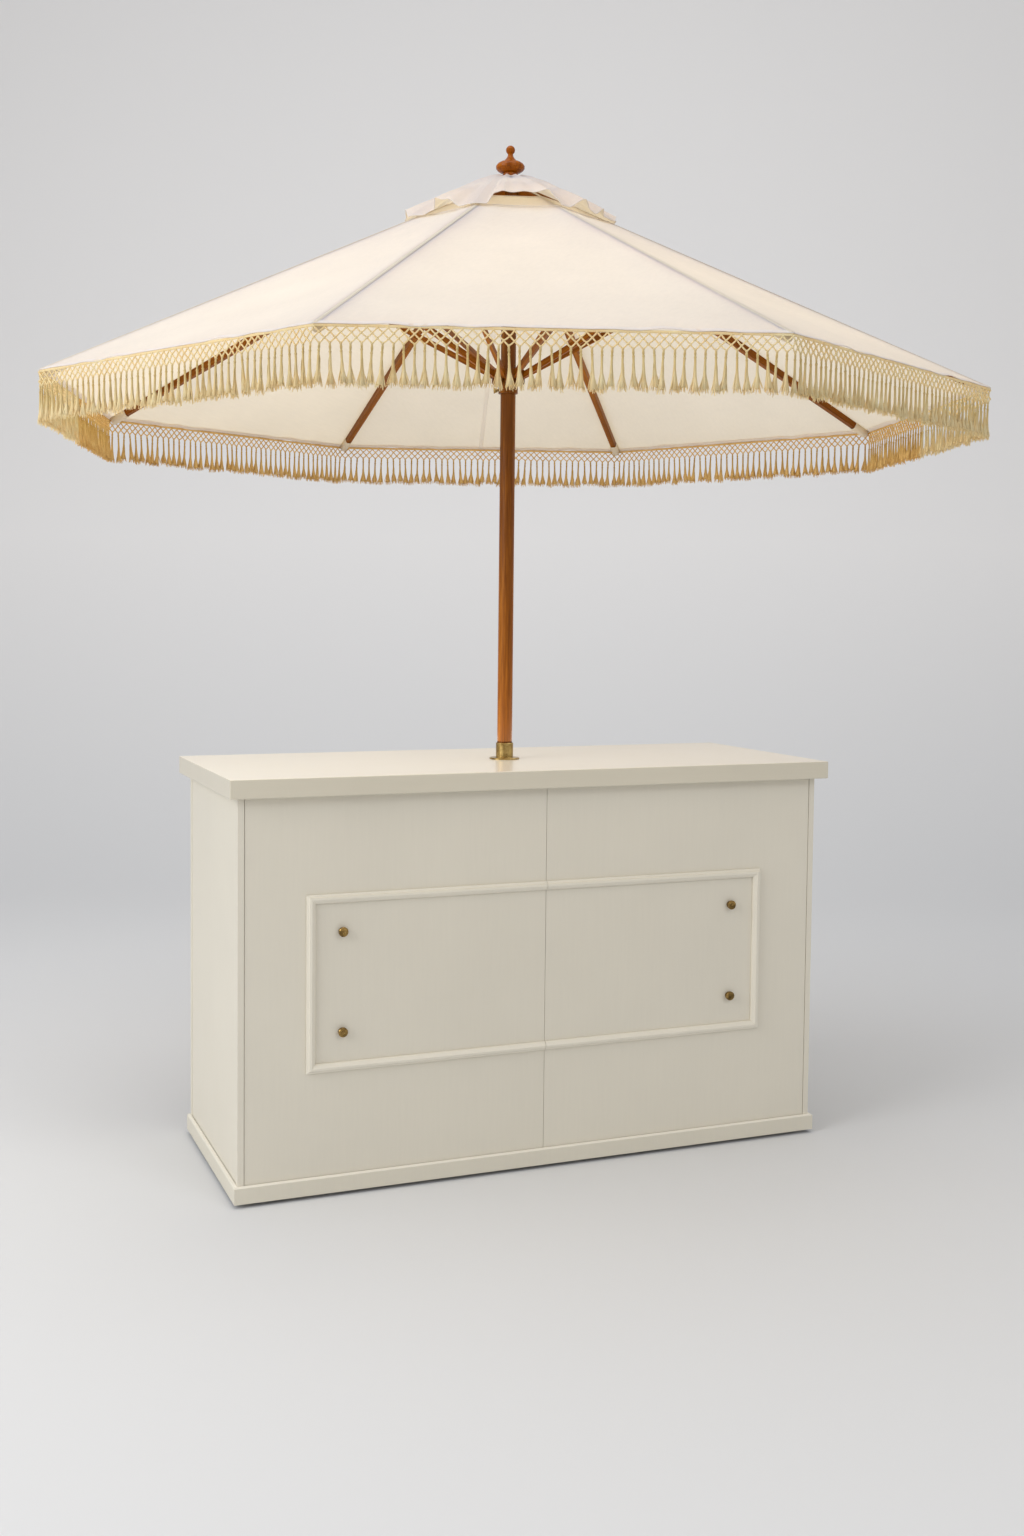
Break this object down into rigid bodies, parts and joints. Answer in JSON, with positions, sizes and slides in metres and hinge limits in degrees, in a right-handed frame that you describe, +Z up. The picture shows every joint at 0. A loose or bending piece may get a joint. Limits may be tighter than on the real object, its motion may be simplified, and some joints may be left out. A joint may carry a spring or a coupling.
{
  "type": "portable bar with parasol",
  "caption": "Panelled portable bar with a lift-off top, an open back with a shelf, and a central pole carrying a folding vented parasol with a knotted fringe.",
  "frame": {"origin": "on the floor under the pole's axis, at the middle of the footprint", "axes": "+Z up along the pole; the bar's panelled front faces -Y and its open back +Y; +X runs along the counter to the right as seen from the front"},
  "size_m": [2.5514, 2.5514, 2.7707],
  "materials": {
    "white_paint": "warm white satin paint on board",
    "countertop_lacquer": "warm white lacquer",
    "foot_stain": "dark stain",
    "oiled_hardwood": "red-brown oiled hardwood with a satin sheen",
    "aged_brass": "aged and brushed",
    "canvas": "natural canvas",
    "cotton_cord": "knotted cotton cord"
  },
  "bodies": {
    "carcass": {"side_panel_left": "white_paint", "side_panel_right": "white_paint", "front_panel_left": "white_paint", "front_panel_right": "white_paint", "seam_batten": "white_paint", "base_deck": "white_paint", "shelf": "white_paint", "rear_rail": "white_paint", "plinth": "white_paint", "foot_rail_left": "foot_stain", "foot_rail_right": "foot_stain", "moulding_left": "white_paint", "moulding_right": "white_paint", "standoff_top_left": "aged_brass", "standoff_bottom_left": "aged_brass", "standoff_top_right": "aged_brass", "standoff_bottom_right": "aged_brass", "pole_socket": "oiled_hardwood"},
    "top": {"countertop": "countertop_lacquer", "pole_collar": "aged_brass"},
    "lower_pole": {"lower_pole": "oiled_hardwood", "pole_ferrule": "aged_brass"},
    "mast": {"upper_pole": "oiled_hardwood", "top_hub": "oiled_hardwood", "canopy_crown": "canvas", "finial": "oiled_hardwood"},
    "runner": {"runner": "oiled_hardwood"},
    "knob": {"runner_knob": "aged_brass"},
    "rib_1": {"rib_1": "oiled_hardwood", "canopy_gore_1": "canvas"},
    "strut_1": {"strut_1": "oiled_hardwood"},
    "fringe_1": {"fringe_1": "cotton_cord"},
    "rib_2": {"rib_2": "oiled_hardwood", "canopy_gore_2": "canvas"},
    "strut_2": {"strut_2": "oiled_hardwood"},
    "fringe_2": {"fringe_2": "cotton_cord"},
    "rib_3": {"rib_3": "oiled_hardwood", "canopy_gore_3": "canvas"},
    "strut_3": {"strut_3": "oiled_hardwood"},
    "fringe_3": {"fringe_3": "cotton_cord"},
    "rib_4": {"rib_4": "oiled_hardwood", "canopy_gore_4": "canvas"},
    "strut_4": {"strut_4": "oiled_hardwood"},
    "fringe_4": {"fringe_4": "cotton_cord"},
    "rib_5": {"rib_5": "oiled_hardwood", "canopy_gore_5": "canvas"},
    "strut_5": {"strut_5": "oiled_hardwood"},
    "fringe_5": {"fringe_5": "cotton_cord"},
    "rib_6": {"rib_6": "oiled_hardwood", "canopy_gore_6": "canvas"},
    "strut_6": {"strut_6": "oiled_hardwood"},
    "fringe_6": {"fringe_6": "cotton_cord"},
    "rib_7": {"rib_7": "oiled_hardwood", "canopy_gore_7": "canvas"},
    "strut_7": {"strut_7": "oiled_hardwood"},
    "fringe_7": {"fringe_7": "cotton_cord"},
    "rib_8": {"rib_8": "oiled_hardwood", "canopy_gore_8": "canvas"},
    "strut_8": {"strut_8": "oiled_hardwood"},
    "fringe_8": {"fringe_8": "cotton_cord"}
  },
  "joints": [
    {"name": "top_lift", "type": "slide", "parent": "carcass", "child": "top", "axis": [0, 0, 1], "range_m": [0, 0.05]},
    {"name": "pole_lift", "type": "slide", "parent": "carcass", "child": "lower_pole", "axis": [0, 0, 1], "range_m": [0, 1.08]},
    {"name": "parasol_turn", "type": "hinge", "parent": "lower_pole", "child": "mast", "pos_m": [0, 0, 0.95], "axis": [0, 0, 1], "continuous": true},
    {"name": "runner_slide", "type": "slide", "parent": "mast", "child": "runner", "axis": [0, 0, 1], "range_m": [-0.5705, 0]},
    {"name": "knob_turn", "type": "hinge", "parent": "runner", "child": "knob", "pos_m": [-0.01371, 0.02668, 2.10373], "axis": [-0.4571, 0.8894, 0], "range_deg": [-180, 0]},
    {"name": "rib_1_fold", "type": "hinge", "parent": "mast", "child": "rib_1", "pos_m": [0.03588, 0.00295, 2.646], "axis": [-0.0819, 0.9966, 0], "range_deg": [-0.5, 61.2], "deforming": ["canopy_gore_1"]},
    {"name": "strut_1_fold", "type": "hinge", "parent": "rib_1", "child": "strut_1", "pos_m": [0.51047, 0.04197, 2.39136], "axis": [-0.0819, 0.9966, 0], "range_deg": [-122.4, 1]},
    {"name": "fringe_1_hang", "type": "hinge", "parent": "rib_1", "child": "fringe_1", "pos_m": [1.2757, 0.10488, 2.05799], "axis": [-0.0819, 0.9966, 0], "range_deg": [-61.2, 0.5], "deforming": ["fringe_1"]},
    {"name": "rib_2_fold", "type": "hinge", "parent": "mast", "child": "rib_2", "pos_m": [0.02328, 0.02746, 2.646], "axis": [-0.7627, 0.6468, 0], "range_deg": [-0.5, 61.2], "deforming": ["canopy_gore_2"]},
    {"name": "strut_2_fold", "type": "hinge", "parent": "rib_2", "child": "strut_2", "pos_m": [0.33128, 0.39063, 2.39136], "axis": [-0.7627, 0.6468, 0], "range_deg": [-122.4, 1]},
    {"name": "fringe_2_hang", "type": "hinge", "parent": "rib_2", "child": "fringe_2", "pos_m": [0.82789, 0.97622, 2.05799], "axis": [-0.7627, 0.6468, 0], "range_deg": [-61.2, 0.5], "deforming": ["fringe_2"]},
    {"name": "rib_3_fold", "type": "hinge", "parent": "mast", "child": "rib_3", "pos_m": [-0.00295, 0.03588, 2.646], "axis": [-0.9966, -0.0819, 0], "range_deg": [-0.5, 61.2], "deforming": ["canopy_gore_3"]},
    {"name": "strut_3_fold", "type": "hinge", "parent": "rib_3", "child": "strut_3", "pos_m": [-0.04197, 0.51047, 2.39136], "axis": [-0.9966, -0.0819, 0], "range_deg": [-122.4, 1]},
    {"name": "fringe_3_hang", "type": "hinge", "parent": "rib_3", "child": "fringe_3", "pos_m": [-0.10488, 1.2757, 2.05799], "axis": [-0.9966, -0.0819, 0], "range_deg": [-61.2, 0.5], "deforming": ["fringe_3"]},
    {"name": "rib_4_fold", "type": "hinge", "parent": "mast", "child": "rib_4", "pos_m": [-0.02746, 0.02328, 2.646], "axis": [-0.6468, -0.7627, 0], "range_deg": [-0.5, 61.2], "deforming": ["canopy_gore_4"]},
    {"name": "strut_4_fold", "type": "hinge", "parent": "rib_4", "child": "strut_4", "pos_m": [-0.39063, 0.33128, 2.39136], "axis": [-0.6468, -0.7627, 0], "range_deg": [-122.4, 1]},
    {"name": "fringe_4_hang", "type": "hinge", "parent": "rib_4", "child": "fringe_4", "pos_m": [-0.97622, 0.82789, 2.05799], "axis": [-0.6468, -0.7627, 0], "range_deg": [-61.2, 0.5], "deforming": ["fringe_4"]},
    {"name": "rib_5_fold", "type": "hinge", "parent": "mast", "child": "rib_5", "pos_m": [-0.03588, -0.00295, 2.646], "axis": [0.0819, -0.9966, 0], "range_deg": [-0.5, 61.2], "deforming": ["canopy_gore_5"]},
    {"name": "strut_5_fold", "type": "hinge", "parent": "rib_5", "child": "strut_5", "pos_m": [-0.51047, -0.04197, 2.39136], "axis": [0.0819, -0.9966, 0], "range_deg": [-122.4, 1]},
    {"name": "fringe_5_hang", "type": "hinge", "parent": "rib_5", "child": "fringe_5", "pos_m": [-1.2757, -0.10488, 2.05799], "axis": [0.0819, -0.9966, 0], "range_deg": [-61.2, 0.5], "deforming": ["fringe_5"]},
    {"name": "rib_6_fold", "type": "hinge", "parent": "mast", "child": "rib_6", "pos_m": [-0.02328, -0.02746, 2.646], "axis": [0.7627, -0.6468, 0], "range_deg": [-0.5, 61.2], "deforming": ["canopy_gore_6"]},
    {"name": "strut_6_fold", "type": "hinge", "parent": "rib_6", "child": "strut_6", "pos_m": [-0.33128, -0.39063, 2.39136], "axis": [0.7627, -0.6468, 0], "range_deg": [-122.4, 1]},
    {"name": "fringe_6_hang", "type": "hinge", "parent": "rib_6", "child": "fringe_6", "pos_m": [-0.82789, -0.97622, 2.05799], "axis": [0.7627, -0.6468, 0], "range_deg": [-61.2, 0.5], "deforming": ["fringe_6"]},
    {"name": "rib_7_fold", "type": "hinge", "parent": "mast", "child": "rib_7", "pos_m": [0.00295, -0.03588, 2.646], "axis": [0.9966, 0.0819, 0], "range_deg": [-0.5, 61.2], "deforming": ["canopy_gore_7"]},
    {"name": "strut_7_fold", "type": "hinge", "parent": "rib_7", "child": "strut_7", "pos_m": [0.04197, -0.51047, 2.39136], "axis": [0.9966, 0.0819, 0], "range_deg": [-122.4, 1]},
    {"name": "fringe_7_hang", "type": "hinge", "parent": "rib_7", "child": "fringe_7", "pos_m": [0.10488, -1.2757, 2.05799], "axis": [0.9966, 0.0819, 0], "range_deg": [-61.2, 0.5], "deforming": ["fringe_7"]},
    {"name": "rib_8_fold", "type": "hinge", "parent": "mast", "child": "rib_8", "pos_m": [0.02746, -0.02328, 2.646], "axis": [0.6468, 0.7627, 0], "range_deg": [-0.5, 61.2], "deforming": ["canopy_gore_8"]},
    {"name": "strut_8_fold", "type": "hinge", "parent": "rib_8", "child": "strut_8", "pos_m": [0.39063, -0.33128, 2.39136], "axis": [0.6468, 0.7627, 0], "range_deg": [-122.4, 1]},
    {"name": "fringe_8_hang", "type": "hinge", "parent": "rib_8", "child": "fringe_8", "pos_m": [0.97622, -0.82789, 2.05799], "axis": [0.6468, 0.7627, 0], "range_deg": [-61.2, 0.5], "deforming": ["fringe_8"]}
  ],
  "couplings": [
    {"joint": "rib_1_fold", "follows": "runner_slide", "rad_per_m": -1.857},
    {"joint": "strut_1_fold", "follows": "runner_slide", "rad_per_m": 3.714},
    {"joint": "fringe_1_hang", "follows": "runner_slide", "rad_per_m": 1.857},
    {"joint": "rib_2_fold", "follows": "runner_slide", "rad_per_m": -1.857},
    {"joint": "strut_2_fold", "follows": "runner_slide", "rad_per_m": 3.714},
    {"joint": "fringe_2_hang", "follows": "runner_slide", "rad_per_m": 1.857},
    {"joint": "rib_3_fold", "follows": "runner_slide", "rad_per_m": -1.857},
    {"joint": "strut_3_fold", "follows": "runner_slide", "rad_per_m": 3.714},
    {"joint": "fringe_3_hang", "follows": "runner_slide", "rad_per_m": 1.857},
    {"joint": "rib_4_fold", "follows": "runner_slide", "rad_per_m": -1.857},
    {"joint": "strut_4_fold", "follows": "runner_slide", "rad_per_m": 3.714},
    {"joint": "fringe_4_hang", "follows": "runner_slide", "rad_per_m": 1.857},
    {"joint": "rib_5_fold", "follows": "runner_slide", "rad_per_m": -1.857},
    {"joint": "strut_5_fold", "follows": "runner_slide", "rad_per_m": 3.714},
    {"joint": "fringe_5_hang", "follows": "runner_slide", "rad_per_m": 1.857},
    {"joint": "rib_6_fold", "follows": "runner_slide", "rad_per_m": -1.857},
    {"joint": "strut_6_fold", "follows": "runner_slide", "rad_per_m": 3.714},
    {"joint": "fringe_6_hang", "follows": "runner_slide", "rad_per_m": 1.857},
    {"joint": "rib_7_fold", "follows": "runner_slide", "rad_per_m": -1.857},
    {"joint": "strut_7_fold", "follows": "runner_slide", "rad_per_m": 3.714},
    {"joint": "fringe_7_hang", "follows": "runner_slide", "rad_per_m": 1.857},
    {"joint": "rib_8_fold", "follows": "runner_slide", "rad_per_m": -1.857},
    {"joint": "strut_8_fold", "follows": "runner_slide", "rad_per_m": 3.714},
    {"joint": "fringe_8_hang", "follows": "runner_slide", "rad_per_m": 1.857}
  ]
}
